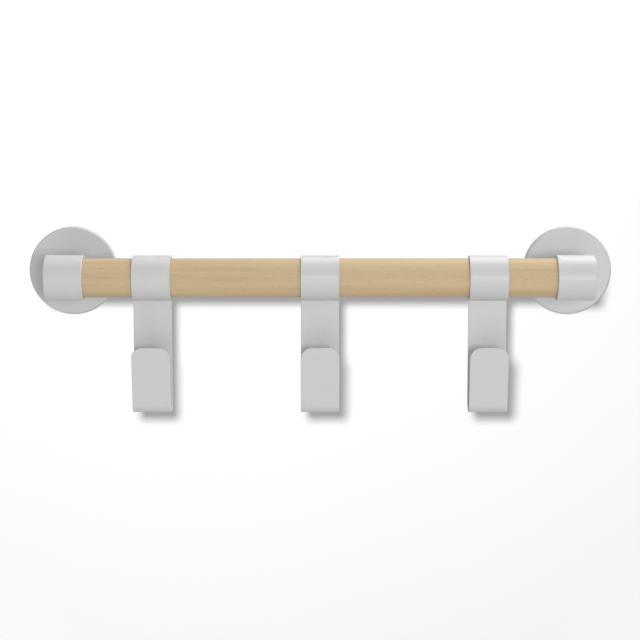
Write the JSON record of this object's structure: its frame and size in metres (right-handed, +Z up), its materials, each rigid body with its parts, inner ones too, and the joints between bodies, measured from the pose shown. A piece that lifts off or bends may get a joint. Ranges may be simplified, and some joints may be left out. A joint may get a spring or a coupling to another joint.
{
  "type": "wall coat rail",
  "caption": "Wall-mounted coat rail: a round wooden rod between two round wall rosettes, carrying bent flat-strip hooks that slide along it and swing on it.",
  "frame": {"origin": "on the wall plane, midway between the two rosettes, level with the rod's axis", "axes": "+X along the rod, to the right as seen from the room; +Y into the wall; +Z up"},
  "size_m": [0.461, 0.0792, 0.1378],
  "materials": {
    "powder_coat": "light grey satin powder coat",
    "wood": "light hardwood, matt clear lacquer",
    "zinc_plate": "zinc plated",
    "dark_steel": "black oxide",
    "nylon": "natural nylon"
  },
  "bodies": {
    "rail": {"rail_rod": "wood", "left_end_cup": "powder_coat", "left_rosette": "powder_coat", "left_mounting_disc": "zinc_plate", "left_post": "powder_coat", "left_post_bolt": "zinc_plate", "left_rosette_grub_screw": "dark_steel", "left_rod_lock_screw": "dark_steel", "right_end_cup": "powder_coat", "right_rosette": "powder_coat", "right_mounting_disc": "zinc_plate", "right_post": "powder_coat", "right_post_bolt": "zinc_plate", "right_rosette_grub_screw": "dark_steel", "right_rod_lock_screw": "dark_steel"},
    "left_slider": {"left_hook_liner": "nylon"},
    "left_swinger": {"left_hook": "powder_coat"},
    "centre_slider": {"centre_hook_liner": "nylon"},
    "centre_swinger": {"centre_hook": "powder_coat"},
    "right_slider": {"right_hook_liner": "nylon"},
    "right_swinger": {"right_hook": "powder_coat"}
  },
  "joints": [
    {"name": "left_hook_slide", "type": "slide", "parent": "rail", "child": "left_slider", "axis": [1, 0, 0], "range_m": [-0.037, 0.049]},
    {"name": "left_hook_swing", "type": "hinge", "parent": "left_slider", "child": "left_swinger", "pos_m": [-0.129, -0.055, 0], "axis": [-1, 0, 0], "range_deg": [-33, 204]},
    {"name": "centre_hook_slide", "type": "slide", "parent": "rail", "child": "centre_slider", "axis": [1, 0, 0], "range_m": [-0.049, 0.049]},
    {"name": "centre_hook_swing", "type": "hinge", "parent": "centre_slider", "child": "centre_swinger", "pos_m": [0, -0.055, 0], "axis": [-1, 0, 0], "range_deg": [-33, 204]},
    {"name": "right_hook_slide", "type": "slide", "parent": "rail", "child": "right_slider", "axis": [1, 0, 0], "range_m": [-0.049, 0.037]},
    {"name": "right_hook_swing", "type": "hinge", "parent": "right_slider", "child": "right_swinger", "pos_m": [0.129, -0.055, 0], "axis": [-1, 0, 0], "range_deg": [-33, 204]}
  ]
}
